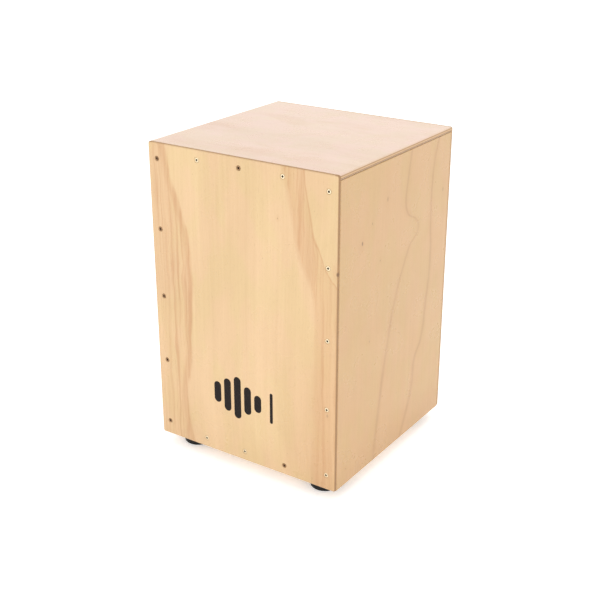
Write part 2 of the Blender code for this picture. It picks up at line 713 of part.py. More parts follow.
def main():
    """Clear the scene and build the whole drum."""
    for item in list(bpy.data.objects):
        bpy.data.objects.remove(item, do_unlink=True)
    make_panels()
    make_battens()
    screw_material = steel("plate_screw_steel", 0.3)
    for number, (x, z) in enumerate(plate_screw_places(), start=1):
        make_plate_screw(number, x, z, screw_material)
    make_feet()
    make_snare_mechanism()


main()
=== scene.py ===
"""Looks of the cajon: plywood panels with real edges, lacquered veneer, screws, feet and strings.

Everything is in metres in the CAD frame: origin on the floor below the box, +Z up, the playing
plate faces -Y. Places are read from the CAD nodes' boxes, so a piece goes where the CAD says.
"""

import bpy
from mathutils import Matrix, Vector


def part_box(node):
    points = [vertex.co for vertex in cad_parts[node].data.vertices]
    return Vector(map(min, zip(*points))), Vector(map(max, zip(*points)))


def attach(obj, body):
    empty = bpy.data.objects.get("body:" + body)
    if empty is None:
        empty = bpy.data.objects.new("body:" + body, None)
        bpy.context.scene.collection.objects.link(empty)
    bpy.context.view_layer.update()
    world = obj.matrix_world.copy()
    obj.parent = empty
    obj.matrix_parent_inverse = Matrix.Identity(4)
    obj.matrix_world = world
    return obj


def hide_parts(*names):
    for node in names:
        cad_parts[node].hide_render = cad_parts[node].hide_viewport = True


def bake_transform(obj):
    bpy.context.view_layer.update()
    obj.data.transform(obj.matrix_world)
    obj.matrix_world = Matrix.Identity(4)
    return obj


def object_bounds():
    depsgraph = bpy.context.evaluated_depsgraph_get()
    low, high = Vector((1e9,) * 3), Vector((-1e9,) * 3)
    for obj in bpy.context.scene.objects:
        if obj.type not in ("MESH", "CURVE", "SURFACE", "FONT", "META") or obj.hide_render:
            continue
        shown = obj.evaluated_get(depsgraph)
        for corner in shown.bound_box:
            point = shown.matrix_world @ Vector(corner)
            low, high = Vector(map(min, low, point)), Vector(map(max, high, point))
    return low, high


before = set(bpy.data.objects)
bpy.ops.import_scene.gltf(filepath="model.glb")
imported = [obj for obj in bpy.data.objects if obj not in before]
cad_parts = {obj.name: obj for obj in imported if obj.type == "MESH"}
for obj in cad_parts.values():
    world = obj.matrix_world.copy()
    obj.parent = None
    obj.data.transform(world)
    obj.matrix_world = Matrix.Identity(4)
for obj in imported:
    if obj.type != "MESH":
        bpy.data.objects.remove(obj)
cad_bounds = [list(corner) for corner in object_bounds()]

import math
import random

import bmesh
import bpy
from mathutils import Matrix, Vector


# ---- Sizes ----
def box_of(node):
    """Lowest and highest corner of a CAD node."""
    return [Vector(corner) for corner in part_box(node)]


def middle_of(node, z=0.0):
    """The point at height z on the upright axis of a CAD node."""
    low, high = box_of(node)
    return Vector(((low.x + high.x) / 2, (low.y + high.y) / 2, z))


BOX_LOW, BOX_HIGH = (Vector(corner) for corner in cad_bounds)
PLATE_LOW, PLATE_HIGH = box_of("front_plate")
BACK_LOW, BACK_HIGH = box_of("back_panel")
SEAT_LOW, SEAT_HIGH = box_of("top_panel")
BODY_BOTTOM = PLATE_LOW.z
BODY_HEIGHT = PLATE_HIGH.z - PLATE_LOW.z
INK_THICKNESS = 0.00008         # printed mark on the playing plate
RIM_REACH = 0.006               # the stained edge of plate and back lies within this of the border
SOUND_HOLE_RADIUS = 0.0575
SOUND_HOLE_Z = 0.290
THREAD_PITCH = 0.001
WOOD_SCREW_THREAD = {"core": 0.00105, "crest": 0.00140, "pitch": 0.0013, "sides": 16, "tip": 0.003}
SCREW_HEAD_RADIUS = 0.0032
SINK_PLAY = 0.00035             # between a plate screw's head and its countersink
SIDES = (("left", -1), ("right", 1))

# Camera: the photographed corner, seen from the front right and from above
CAMERA_PLACE = (0.801, -1.200, 0.813)
CAMERA_TARGET = (-0.007, 0.0, 0.2095)
CAMERA_LENS = 64.7


# ---- Shader graphs ----
class Graph:
    """A material with a Principled shader, and short calls that add nodes to it."""

    def __init__(self, name, roughness=0.5, metallic=0.0, specular=0.5):
        self.material = bpy.data.materials.new(name)
        self.material.use_nodes = True
        self.tree = self.material.node_tree
        self.shader = self.tree.nodes["Principled BSDF"]
        self.shader.inputs["Roughness"].default_value = roughness
        self.shader.inputs["Metallic"].default_value = metallic
        self.shader.inputs["Specular IOR Level"].default_value = specular
        place = self.tree.nodes.new("ShaderNodeTexCoord")
        self.place = place.outputs["Object"]
        self.normal = place.outputs["Normal"]
        split = self.node("ShaderNodeSeparateXYZ", {0: self.place})
        self.axis = {"x": split.outputs[0], "y": split.outputs[1], "z": split.outputs[2]}

    def node(self, kind, inputs, **settings):
        """Add a node, set its properties and link or fill its inputs."""
        made = self.tree.nodes.new(kind)
        for key, value in settings.items():
            setattr(made, key, value)
        for key, value in inputs.items():
            if isinstance(value, bpy.types.NodeSocket):
                self.tree.links.new(value, made.inputs[key])
            else:
                made.inputs[key].default_value = value
        return made

    def math(self, operation, first, second=0.0, third=0.0):
        """One Math node."""
        inputs = {0: first, 1: second, 2: third}
        return self.node("ShaderNodeMath", inputs, operation=operation).outputs[0]

    def vector(self, x, y, z):
        """A vector put together from three values."""
        return self.node("ShaderNodeCombineXYZ", {0: x, 1: y, 2: z}).outputs[0]

    def scaled(self, x, y, z, scales):
        """Three values, each times its own scale, as one vector."""
        return self.vector(*[self.math("MULTIPLY", value, scale)
                             for value, scale in zip((x, y, z), scales)])

    def less(self, first, second):
        """first - second."""
        return self.math("SUBTRACT", first, second)

    def plus(self, first, second):
        """first + second."""
        return self.math("ADD", first, second)

    def times(self, first, second):
        """first * second."""
        return self.math("MULTIPLY", first, second)

    def largest(self, *values):
        """The largest of two or more values."""
        most = values[0]
        for value in values[1:]:
            most = self.math("MAXIMUM", most, value)
        return most

    def noise(self, vector, scale, detail=2.0, roughness=0.5, distortion=0.0):
        """Noise value around 0.5."""
        inputs = {"Vector": vector, "Scale": scale, "Detail": detail}
        inputs.update({"Roughness": roughness, "Distortion": distortion})
        return self.node("ShaderNodeTexNoise", inputs).outputs["Fac"]

    def spread(self, value, low, high, to_low=0.0, to_high=1.0, kind="LINEAR"):
        """Map a value from one range to another, clamped."""
        inputs = {"Value": value, "From Min": low, "From Max": high, "To Min": to_low, "To Max": to_high}
        return self.node("ShaderNodeMapRange", inputs, interpolation_type=kind, clamp=True).outputs[0]

    def soft(self, value, low, high, to_low=0.0, to_high=1.0):
        """The same with smooth ends."""
        return self.spread(value, low, high, to_low, to_high, "SMOOTHSTEP")

    def mix(self, factor, first, second, blend="MIX"):
        """Mix two colours."""
        inputs = {0: factor}
        for key, tone in ((6, first), (7, second)):
            inputs[key] = tone if isinstance(tone, bpy.types.NodeSocket) else (*tone, 1.0)
        return self.node("ShaderNodeMix", inputs, data_type="RGBA", blend_type=blend).outputs[2]

    def curve(self, value, points):
        """A smooth function through (value, result) points, all between 0 and 1."""
        made = self.node("ShaderNodeFloatCurve", {1: value})
        line = made.mapping.curves[0]
        for number, (across, up) in enumerate(points):
            if 0 < number < len(points) - 1:
                line.points.new(across, up)
            else:
                line.points[0 if number == 0 else len(line.points) - 1].location = (across, up)
        made.mapping.update()
        return made.outputs[0]

    def colour(self, socket):
        """Link a varying base colour."""
        self.tree.links.new(socket, self.shader.inputs["Base Color"])

    def roughness(self, socket):
        """Link a varying roughness."""
        self.tree.links.new(socket, self.shader.inputs["Roughness"])

    def bump(self, height, distance, strength):
        """Use a height value as a fine surface relief."""
        inputs = {"Height": height, "Distance": distance, "Strength": strength}
        made = self.node("ShaderNodeBump", inputs)
        self.tree.links.new(made.outputs[0], self.shader.inputs["Normal"])


def srgb(red, green, blue):
    """Linear colour of an 8-bit screen colour."""
    def linear(level):
        level /= 255
        return level / 12.92 if level <= 0.04045 else ((level + 0.055) / 1.055) ** 2.4

    return (linear(red), linear(green), linear(blue))


# ---- Wood ----
def grain(graph, along, seed, wander=0.010):
    """Coordinates of straight-grained wood: (across, along, through), gently wandering."""
    others = [letter for letter in "xyz" if letter != along]
    own_place = graph.node("ShaderNodeVectorMath", {0: graph.place, 1: (seed, seed * 1.7, seed * 0.6)},
                           operation="ADD").outputs[0]
    slow = graph.noise(own_place, 5.0, 1.0)
    shift = graph.times(graph.less(slow, 0.5), wander * 2)
    across = graph.plus(graph.axis[others[0]], graph.plus(shift, seed))
    through = graph.plus(graph.axis[others[1]], seed * 0.37)
    return across, graph.axis[along], through


def fibre_tone(graph, across, along, through):
    """Fine and coarse fibres along the grain, as one value around 0."""
    coarse = graph.noise(graph.scaled(across, along, through, (230.0, 3.2, 230.0)), 1.0, 3.0, 0.6)
    fine = graph.noise(graph.scaled(across, along, through, (1500.0, 22.0, 1500.0)), 1.0, 2.0, 0.5)
    return graph.plus(graph.less(coarse, 0.5), graph.times(graph.less(fine, 0.5), 0.6))


def pore_mask(graph, across, along, through):
    """Short thin dashes along the grain, 1 where a pore is."""
    cells = graph.noise(graph.scaled(across, along, through, (1900.0, 190.0, 1900.0)), 1.0, 0.0)
    return graph.soft(cells, 0.70, 0.80)


def speck_mask(graph, across, along, spacing, size, seed):
    """Small round mineral specks scattered over a face, 1 at a speck's middle."""
    where = graph.vector(graph.math("DIVIDE", across, spacing), graph.math("DIVIDE", along, spacing), seed)
    cells = graph.node("ShaderNodeTexVoronoi", {"Vector": where, "Scale": 1.0, "Randomness": 1.0},
                       voronoi_dimensions="2D")
    return graph.soft(cells.outputs["Distance"], 0.0, size / spacing, 1.0, 0.0)


def band(graph, distance, width):
    """1 on a line and falling smoothly to 0 at width from it."""
    return graph.soft(graph.math("ABSOLUTE", distance), 0.0, width, 1.0, 0.0)


def curved_line(graph, run, points, start, length):
    """Signed place of a line that wanders over a face: points are (run, place), 0 to 1."""
    return graph.math("MULTIPLY_ADD", graph.curve(run, points), length, start)


def plate_figure(graph, colour, along_noise):
    """Streaky reddish heartwood down the left and the right of the playing plate."""
    down = graph.spread(graph.axis["z"], BODY_BOTTOM, BODY_BOTTOM + BODY_HEIGHT, 1.0, 0.0)
    width = PLATE_HIGH.x - PLATE_LOW.x
    wobble = graph.times(graph.less(along_noise, 0.5), 0.012)
    x = graph.plus(graph.axis["x"], wobble)
    left_edge = curved_line(
        graph, down,
        ((0, 0.10), (0.1, 0.13), (0.2, 0.18), (0.32, 0.225), (0.5, 0.225), (0.68, 0.21), (0.85, 0.175),
         (1, 0.21)),
        PLATE_LOW.x, width)
    left_start = curved_line(
        graph, down, ((0, 0.02), (0.2, 0.04), (0.34, 0.10), (0.75, 0.105), (1, 0.05)), PLATE_LOW.x, width)
    right_edge = curved_line(
        graph, down,
        ((0, 0.72), (0.1, 0.765), (0.23, 0.80), (0.32, 0.85), (0.39, 0.885), (0.55, 0.892), (0.75, 0.885),
         (1, 0.885)),
        PLATE_LOW.x, width)
    pale_edge = curved_line(
        graph, down,
        ((0, 0.83), (0.12, 0.86), (0.22, 0.895), (0.29, 0.95), (0.34, 1.0), (1, 1.0)),
        PLATE_LOW.x, width)
    left = graph.soft(graph.less(left_edge, x), 0.0, 0.0040)
    left_fade = graph.soft(graph.less(x, left_start), -0.020, 0.006, 0.45, 1.0)
    right = graph.soft(graph.less(x, right_edge), 0.0, 0.0040)
    right_fade = graph.soft(graph.less(x, right_edge), 0.012, 0.036, 1.0, 0.72)
    below_pale = graph.soft(graph.less(x, pale_edge), 0.0, 0.003, 1.0, 0.0)
    right_band = graph.times(graph.times(right, right_fade), below_pale)
    left_band = graph.times(left, left_fade)
    fibres = graph.vector(graph.times(x, 210.0), graph.times(graph.axis["z"], 3.0), 2.0)
    streaks = graph.noise(fibres, 1.0, 4.0, 0.7)
    fill = graph.largest(graph.times(left_band, 0.14), graph.times(right_band, 0.34))
    colour = graph.mix(fill, colour, PLATE_BAND)
    bands = graph.largest(left_band, right_band)
    streaked = graph.times(bands, graph.soft(streaks, 0.42, 0.66, 0.0, 0.62))
    colour = graph.mix(streaked, colour, PLATE_STREAK)
    pale_rim = graph.times(band(graph, graph.less(x, pale_edge), 0.0018), 0.45)
    right_rim = graph.times(band(graph, graph.less(x, right_edge), 0.0050), 0.22)
    within = graph.less(graph.less(left_edge, 0.007), x)
    left_rim = graph.times(band(graph, within, 0.0085), 0.36)
    rims = graph.largest(pale_rim, right_rim, left_rim)
    colour = graph.mix(rims, colour, PLATE_STREAK)
    # the colour darkens a little towards the lower right corner
    corner = graph.times(graph.soft(graph.axis["x"], 0.02, 0.15), graph.soft(down, 0.15, 0.9))
    colour = graph.mix(graph.times(corner, 0.32), colour, PLATE_BAND)
    return knots(graph, colour, "x", ((0.137, -0.107, 0.0022, 0.35), (0.060, 0.150, 0.0009, 0.5)))


def knots(graph, colour, across, places):
    """Small brown knots with a soft halo: (across, height from the middle, radius, strength)."""
    for place, height, radius, strength in places:
        sideways = graph.less(graph.axis[across], place)
        upwards = graph.less(graph.axis["z"], BODY_BOTTOM + BODY_HEIGHT / 2 + height)
        away = graph.vector(sideways, graph.times(upwards, 0.6), 0.0)
        length = graph.node("ShaderNodeVectorMath", {0: away}, operation="LENGTH").outputs["Value"]
        core = graph.soft(length, radius * 0.3, radius, strength, 0.0)
        halo = graph.soft(length, radius, radius * 5, strength * 0.30, 0.0)
        colour = graph.mix(halo, colour, SIDE_BAND)
        colour = graph.mix(core, colour, SPECK)
    return colour


def side_figure(graph, colour, along_noise):
    """Two thin dark growth lines that wander down the side panels, one with a kink."""
    down = graph.spread(graph.axis["z"], BODY_BOTTOM, BODY_BOTTOM + BODY_HEIGHT, 1.0, 0.0)
    depth = BOX_HIGH.y - BOX_LOW.y
    jitter = graph.times(graph.less(along_noise, 0.5), 0.006)
    y = graph.plus(graph.axis["y"], jitter)
    kinked = curved_line(
        graph, down,
        ((0, 0.61), (0.10, 0.58), (0.17, 0.565), (0.215, 0.59), (0.245, 0.665), (0.27, 0.695),
         (0.295, 0.685), (0.32, 0.625), (0.38, 0.565), (0.47, 0.50), (0.62, 0.435), (0.78, 0.385),
         (1, 0.335)),
        BOX_LOW.y, depth)
    plain = curved_line(
        graph, down,
        ((0, 0.875), (0.08, 0.83), (0.14, 0.815), (0.45, 0.825), (0.58, 0.795), (0.68, 0.77), (0.74, 0.71),
         (0.84, 0.69), (0.92, 0.645), (1, 0.585)),
        BOX_LOW.y, depth)
    patches = graph.spread(graph.noise(graph.place, 26.0, 2.0), 0.32, 0.62, 0.55, 1.0)
    widen = graph.spread(down, 0.3, 0.9, 0.0042, 0.0068)
    from_kinked = graph.less(y, kinked)
    from_plain = graph.less(y, plain)
    lines = graph.largest(band(graph, from_kinked, widen), band(graph, from_plain, widen))
    lines = graph.times(lines, patches)
    halo = graph.largest(band(graph, from_kinked, 0.014), band(graph, from_plain, 0.012))
    colour = graph.mix(graph.times(halo, 0.22), colour, SIDE_BAND)
    colour = graph.mix(graph.times(lines, 0.34), colour, SIDE_LINE)
    # the colour darkens towards the bottom of the side
    low = graph.soft(down, 0.82, 1.0, 0.0, 0.30)
    colour = graph.mix(low, colour, SIDE_BAND)
    return knots(graph, colour, "y", (
        (-0.092, 0.117, 0.0024, 0.80), (-0.068, 0.137, 0.0016, 0.45), (-0.030, 0.160, 0.0030, 0.30),
        (-0.045, 0.080, 0.0012, 0.55), (-0.068, -0.028, 0.0012, 0.55), (0.128, 0.134, 0.0028, 0.30),
        (-0.123, -0.196, 0.0010, 0.60)))


def cloudy_figure(graph, colour, along_noise):
    """Soft clouds and a few faint darker fields, for panels without strong figure."""
    clouds = graph.noise(graph.scaled(*graph.axis.values(), (9.0, 22.0, 9.0)), 1.0, 3.0, 0.55, 0.6)
    field = graph.times(graph.soft(clouds, 0.48, 0.75), 0.45)
    return graph.mix(field, colour, CLOUD_BAND)


# Veneer colours, as the shader needs them under this scene's light
PLATE_FACE = (0.654, 0.456, 0.253)
PLATE_BAND = (0.544, 0.306, 0.142)
PLATE_STREAK = (0.486, 0.252, 0.116)
SIDE_FACE = (0.566, 0.356, 0.171)
SIDE_BAND = (0.500, 0.281, 0.119)
SIDE_LINE = (0.330, 0.160, 0.066)
# the seat's wood tone with painted sheen: paler and pinker for the lacquer's reflection of the light above
SEAT_FACE_AND_SHEEN = (0.712, 0.524, 0.408)
BACK_FACE = (0.608, 0.396, 0.208)
BOTTOM_FACE = (0.620, 0.420, 0.230)
CLOUD_BAND = (0.608, 0.400, 0.248)
EDGE_LIGHT = (0.560, 0.370, 0.200)
EDGE_DEEP = (0.330, 0.195, 0.095)
EDGE_DARK = (0.190, 0.105, 0.050)
PLATE_EDGES = ((0.400, 0.230, 0.108), (0.310, 0.170, 0.076))
BACK_EDGES = ((0.550, 0.375, 0.235), (0.490, 0.325, 0.195))
SEAT_EDGES = ((0.640, 0.425, 0.240), (0.470, 0.290, 0.150))
# painted shade laid along the joint under the seat's lip
PAINTED_SEAM_SHADE = (0.270, 0.145, 0.060)
SPECK = (0.200, 0.110, 0.055)


def stained_edge(graph, outward, rim):
    """How stained a panel's border is where it turns away from its face, more at the uprights.

    rim is (half width, low, high).
    """
    half_width, low, high = rim
    beyond = graph.math("GREATER_THAN", graph.math("ABSOLUTE", graph.axis["x"]), half_width - RIM_REACH)
    above = graph.math("GREATER_THAN", graph.axis["z"], high - RIM_REACH)
    under = graph.math("LESS_THAN", graph.axis["z"], low + RIM_REACH)
    ends = graph.times(graph.largest(above, under), 0.40)
    border = graph.largest(beyond, ends)
    direction = graph.node("ShaderNodeSeparateXYZ", {0: graph.normal}).outputs["xyz".index(outward)]
    turned = graph.spread(graph.math("ABSOLUTE", direction), 0.80, 0.92, 1.0, 0.0)
    return graph.times(border, turned)


def plywood(name, along, outward, faces, plies, face_colour, figure, seed, edge_tones,
            lacquer=0.30, rim=None, joint_shade=0.0, streaks=1.0, chips=()):
    """Birch plywood. outward is the axis across the sheet and faces its two coordinates.

    The depth below the nearer face picks the ply, so the face ply shows its grain, and every
    sawn or rounded edge shows its layers where the real sheet does. rim marks a panel whose
    whole edge is stained. The joint shade value is how high painted shade darkens the edge above
    the low face's border, in the joint under a lip. streaks is how strongly the fibres show, and
    chips are dark nicks in the edge, given as knots are.
    """
    graph = Graph(name, roughness=lacquer, specular=0.45)
    low, high = faces
    across, length, through = grain(graph, along, seed)
    tone = fibre_tone(graph, across, length, through)
    broad = graph.vector(graph.times(across, 16.0), graph.times(length, 3.0), seed)
    slow = graph.noise(broad, 1.0, 3.0, 0.55, 0.4)
    narrow = graph.vector(graph.times(across, 60.0), graph.times(length, 14.0), seed)
    ripple = graph.noise(narrow, 1.0, 2.0, 0.6)
    blotch = graph.noise(graph.scaled(*graph.axis.values(), (26.0, 26.0, 12.0)), 1.0, 2.0, 0.6)
    greener = tuple(level * share for level, share in zip(face_colour, (0.95, 0.98, 0.86)))
    pinker = tuple(level * share for level, share in zip(face_colour, (1.01, 0.96, 0.98)))
    ground = graph.mix(graph.soft(blotch, 0.40, 0.62), pinker, greener)
    ground = graph.mix(0.5, ground, face_colour)
    colour = figure(graph, ground, ripple)
    dark = graph.plus(graph.times(tone, 0.12 * streaks),
                      graph.times(graph.less(slow, 0.5), 0.26 * streaks))
    shade = graph.less(1.0, dark)
    warmer_shade = graph.vector(shade, graph.math("POWER", shade, 1.25), graph.math("POWER", shade, 1.6))
    colour = graph.mix(1.0, colour, warmer_shade, "MULTIPLY")
    pores = graph.times(pore_mask(graph, across, length, through), 0.13 * streaks)
    colour = graph.mix(pores, colour, SPECK)
    first, second = [graph.axis[letter] for letter in "xyz" if letter != outward]
    specks = speck_mask(graph, first, second, 0.085, 0.0011, seed)
    colour = graph.mix(graph.times(specks, 0.35), colour, SPECK)

    ply = (high - low) / plies
    depth = graph.less(high, graph.axis[outward])
    below = graph.math("MINIMUM", depth, graph.less(graph.axis[outward], low))
    inside = graph.math("GREATER_THAN", below, ply * 0.95)
    if rim:
        inside = graph.largest(inside, stained_edge(graph, outward, rim))
    layer = graph.math("DIVIDE", depth, ply)
    odd = graph.math("GREATER_THAN", graph.math("FRACT", graph.times(layer, 0.5)), 0.5)
    glue = graph.spread(graph.math("PINGPONG", layer, 0.5), 0.0, 0.10, 0.22, 0.0)
    end_grain = graph.noise(graph.place, 900.0, 2.0, 0.7)
    light, deep = edge_tones
    sawn = graph.mix(odd, light, deep)
    sawn = graph.mix(graph.spread(end_grain, 0.35, 0.75, 0.0, 0.15), sawn, EDGE_DARK)
    sawn = graph.mix(glue, sawn, EDGE_DARK)
    colour = graph.mix(inside, colour, sawn)
    # painted shade along the low border of the edge, where it sits in the joint under a lip
    if joint_shade:
        grime_and_shade = graph.soft(graph.axis[outward], low + joint_shade * 0.5, low + joint_shade, 0.55, 0.0)
        colour = graph.mix(grime_and_shade, colour, PAINTED_SEAM_SHADE)
    graph.colour(knots(graph, colour, "x", chips))

    haze = graph.noise(graph.place, 24.0, 3.0)
    worn = graph.spread(haze, 0.35, 0.7, lacquer - 0.05, lacquer + 0.07)
    graph.roughness(graph.plus(worn, graph.times(inside, 0.3)))
    graph.bump(tone, 0.00002, 0.35)
    return graph.material


def solid_wood(name, along, face_colour, dark_colour, seed, rings=55.0):
    """Planed softwood or hardwood with growth rings along one axis."""
    graph = Graph(name, roughness=0.62, specular=0.35)
    across, length, through = grain(graph, along, seed, 0.004)
    wave = graph.noise(graph.scaled(across, length, through, (30.0, 2.0, 30.0)), 1.0, 2.0)
    cycle = graph.math("MULTIPLY_ADD", graph.plus(across, graph.times(through, 0.5)),
                       rings * math.tau, graph.times(wave, 9.0))
    ring = graph.soft(graph.math("SINE", cycle), -0.2, 1.0)
    tone = fibre_tone(graph, across, length, through)
    colour = graph.mix(graph.times(ring, 0.55), face_colour, dark_colour)
    colour = graph.mix(graph.spread(tone, -0.3, 0.3, 0.0, 0.35), colour, dark_colour)
    graph.colour(colour)
    graph.bump(graph.plus(tone, graph.times(ring, 0.2)), 0.0001, 0.6)
    return graph.material


# ---- Other materials ----
def metal(name, colour, roughness, grime_and_shade=0.35, recess=0.0):
    """Plated or bare metal with fine scratches and uneven dullness.

    recess is how deep below the piece's own zero height the painted shade in a screw's recess lies: below
    it the recess is painted near black.
    """
    graph = Graph(name, roughness=roughness, metallic=1.0)
    cloud = graph.noise(graph.place, 420.0, 4.0, 0.6)
    scratch = graph.noise(graph.scaled(*graph.axis.values(), (900.0, 7000.0, 2500.0)), 1.0, 1.0)
    dark = tuple(level * 0.45 for level in colour)
    shade = graph.mix(graph.spread(cloud, 0.35, 0.75, 0.0, grime_and_shade), colour, dark)
    # painted shade: the screw's recess is coloured near black below its rim
    if recess:
        recess_shade = graph.spread(graph.axis["z"], -recess, -recess * 0.1, 1.0, 0.0)
        shade = graph.mix(recess_shade, shade, (0.012, 0.009, 0.007))
    graph.colour(shade)
    wear = graph.plus(cloud, scratch)
    graph.roughness(graph.spread(wear, 0.7, 1.3, roughness - 0.08, roughness + 0.14))
    graph.bump(scratch, 0.00002, 0.4)
    return graph.material


def rubber():
    """Matt black rubber with a moulded grain and a little dust."""
    graph = Graph("black_rubber", roughness=0.6, specular=0.15)
    grit = graph.noise(graph.place, 2600.0, 2.0)
    dust = graph.noise(graph.place, 90.0, 4.0, 0.65)
    dusty = graph.spread(dust, 0.45, 0.8, 0.0, 0.5)
    colour = graph.mix(dusty, (0.010, 0.010, 0.011), (0.040, 0.038, 0.036))
    graph.colour(colour)
    graph.roughness(graph.spread(dust, 0.3, 0.8, 0.50, 0.80))
    graph.bump(grit, 0.00008, 0.5)
    return graph.material


def ink():
    """Screen-printed black ink, slightly uneven, with the wood's fibres just showing."""
    graph = Graph("black_ink", roughness=0.55, specular=0.12)
    fibres = graph.noise(graph.scaled(graph.axis["x"], 0.0, graph.axis["z"], (1500.0, 1.0, 22.0)), 1.0, 2.0)
    wear = graph.spread(fibres, 0.35, 0.75, 0.0, 0.5)
    graph.colour(graph.mix(wear, (0.0115, 0.0085, 0.0080), (0.024, 0.018, 0.015)))
    graph.roughness(graph.spread(fibres, 0.3, 0.7, 0.48, 0.65))
    graph.bump(fibres, 0.00004, 0.4)
    return graph.material


# ---- Mesh helpers ----
SHARP_ANGLE = math.radians(35)          # edges that turn more than this are shaded sharp
THREAD_SHARP_ANGLE = math.radians(40)   # the same on threaded pieces


def add_object(name, data):
    """A new object in the scene."""
    made = bpy.data.objects.new(name, data)
    bpy.context.scene.collection.objects.link(made)
    return made


def mesh_from(name, mesh_data):
    """Turn a bmesh into a mesh, with its normals outward."""
    bmesh.ops.recalc_face_normals(mesh_data, faces=mesh_data.faces)
    mesh = bpy.data.meshes.new(name)
    mesh_data.to_mesh(mesh)
    mesh_data.free()
    return mesh


def shaded_mesh(name, mesh_data, material):
    """Make a mesh of a bmesh, with its shading and material."""
    mesh = mesh_from(name, mesh_data)
    mesh.shade_smooth()
    mesh.set_sharp_from_angle(angle=SHARP_ANGLE)
    mesh.materials.append(material)
    return mesh


def finish_mesh(name, mesh_data, material, body="drum", nodes=()):
    """Make an object of a bmesh, and say what it rides on and stands for."""
    piece = add_object(name, shaded_mesh(name, mesh_data, material))
    place_piece(piece, body, nodes)
    return piece


def place_piece(piece, body, nodes=()):
    """Ride on a body and stand for CAD nodes."""
    if body:
        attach(piece, body)
    if nodes:
        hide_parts(*nodes)


def box_mesh(low, high):
    """A bmesh of a box between two corners."""
    mesh_data = bmesh.new()
    bmesh.ops.create_cube(mesh_data, size=1.0)
    low, high = Vector(low), Vector(high)
    for vertex in mesh_data.verts:
        vertex.co = Vector((vertex.co[i] + 0.5) * (high[i] - low[i]) + low[i] for i in range(3))
    return mesh_data


def round_edges(mesh_data, radius, segments, wanted):
    """Round over the sharp edges that wanted(first, second) picks by their end points."""
    edges = [e for e in mesh_data.edges
             if e.calc_face_angle(0) > math.radians(50) and wanted(e.verts[0].co, e.verts[1].co)]
    bmesh.ops.bevel(mesh_data, geom=edges, offset=radius, segments=segments, profile=0.5,
                    affect="EDGES", clamp_overlap=True)


def flat_faces_stay_flat(piece):
    """Weight the normals by face area, so that roundings don't shade the flat faces."""
    weighted = piece.modifiers.new("flat_faces", "WEIGHTED_NORMAL")
    weighted.weight = 100
    weighted.keep_sharp = True


def on_circle(radius, turn, height):
    """A point on a level circle about Z, turn being the share of a full turn."""
    return (radius * math.cos(math.tau * turn), radius * math.sin(math.tau * turn), height)


def turned_mesh(profile, sides=48, mesh_data=None, matrix=None):
    """Spin a closed (radius, height) outline about Z."""
    mesh_data = mesh_data or bmesh.new()
    rings = []
    for radius, height in profile:
        count = 1 if radius < 1e-7 else sides
        rings.append([mesh_data.verts.new(on_circle(radius, i / sides, height)) for i in range(count)])
    pairs = list(zip(rings, rings[1:]))
    if profile[0][0] > 1e-7 and profile[-1][0] > 1e-7:
        pairs.append((rings[-1], rings[0]))
    for lower, upper in pairs:
        for i in range(sides):
            k = (i + 1) % sides
            corners = [lower[i % len(lower)], lower[k % len(lower)],
                       upper[k % len(upper)], upper[i % len(upper)]]
            unique = list(dict.fromkeys(corners))
            if len(unique) > 2:
                mesh_data.faces.new(unique)
    if matrix:
        bmesh.ops.transform(mesh_data, matrix=matrix, verts=[v for ring in rings for v in ring])
    return mesh_data


def arc(centre, radius, start, end, steps):
    """Points of an arc, as (radius, height), angles in degrees."""
    points = []
    for step in range(steps + 1):
        angle = math.radians(start + (end - start) * step / steps)
        points.append((centre[0] + radius * math.cos(angle), centre[1] + radius * math.sin(angle)))
    return points


def oval(radius, height, angles):
    """Points of a quarter of an oval dome, angles in degrees above its rim."""
    return [(radius * math.cos(math.radians(angle)), height * math.sin(math.radians(angle)))
            for angle in angles]


def subtract(piece, mesh_data, name):
    """Cut a bmesh away from a piece and keep the result in its mesh."""
    cutter = add_object(name, mesh_from(name, mesh_data))
    boolean = piece.modifiers.new(name, "BOOLEAN")
    boolean.operation = "DIFFERENCE"
    boolean.solver = "EXACT"
    boolean.object = cutter
    graph = bpy.context.evaluated_depsgraph_get()
    cut = bpy.data.meshes.new_from_object(piece.evaluated_get(graph))
    piece.modifiers.remove(boolean)
    old = piece.data
    piece.data = cut
    bpy.data.meshes.remove(old)
    bpy.data.objects.remove(cutter)
    cut.shade_smooth()
    cut.set_sharp_from_angle(angle=SHARP_ANGLE)


# ---- Panels ----
ARRIS = 0.00035         # the small sanded edge of every board
CORNER_RADIUS = 0.0030  # rounded corners of the playing plate and the back, seen from the front
PLATE_ROUNDING = 0.0022
SEAT_ROUNDING = 0.0030
JOINT_CHAMFER = 0.0012  # eased edges that make a groove between two panels
RIM_ROUNDING = 0.0012   # of the sound hole
NEAR = 0.001            # an edge closer than this to a face belongs to it
LONG = 0.1              # an edge longer than this runs along a panel


def board(name, node, material, roundings=(), inset=((0, 0, 0), (0, 0, 0))):
    """A panel at its CAD node's place: (edge picker, radius) roundings, fine arrises elsewhere."""
    low, high = box_of(node)
    mesh_data = box_mesh(low + Vector(inset[0]), high + Vector(inset[1]))
    for wanted, radius in roundings:
        round_edges(mesh_data, radius, 6, wanted)
    round_edges(mesh_data, ARRIS, 2, lambda a, b: True)
    return finish_mesh(name, mesh_data, material, nodes=(node,))


def plate_screw_nodes():
    """(node, head centre) of each screw of the playing plate."""
    found = []
    for node in sorted(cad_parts):
        if node.startswith("plate_screw_"):
            low, high = box_of(node)
            centre = (low + high) / 2
            found.append((node, Vector((centre.x, PLATE_LOW.y, centre.z))))
    return found


def upright_matrix(place):
    """Turn a piece made along +Z so that its top faces the front, and move it."""
    return Matrix.Translation(place) @ Matrix.Rotation(math.radians(90), 4, "X")


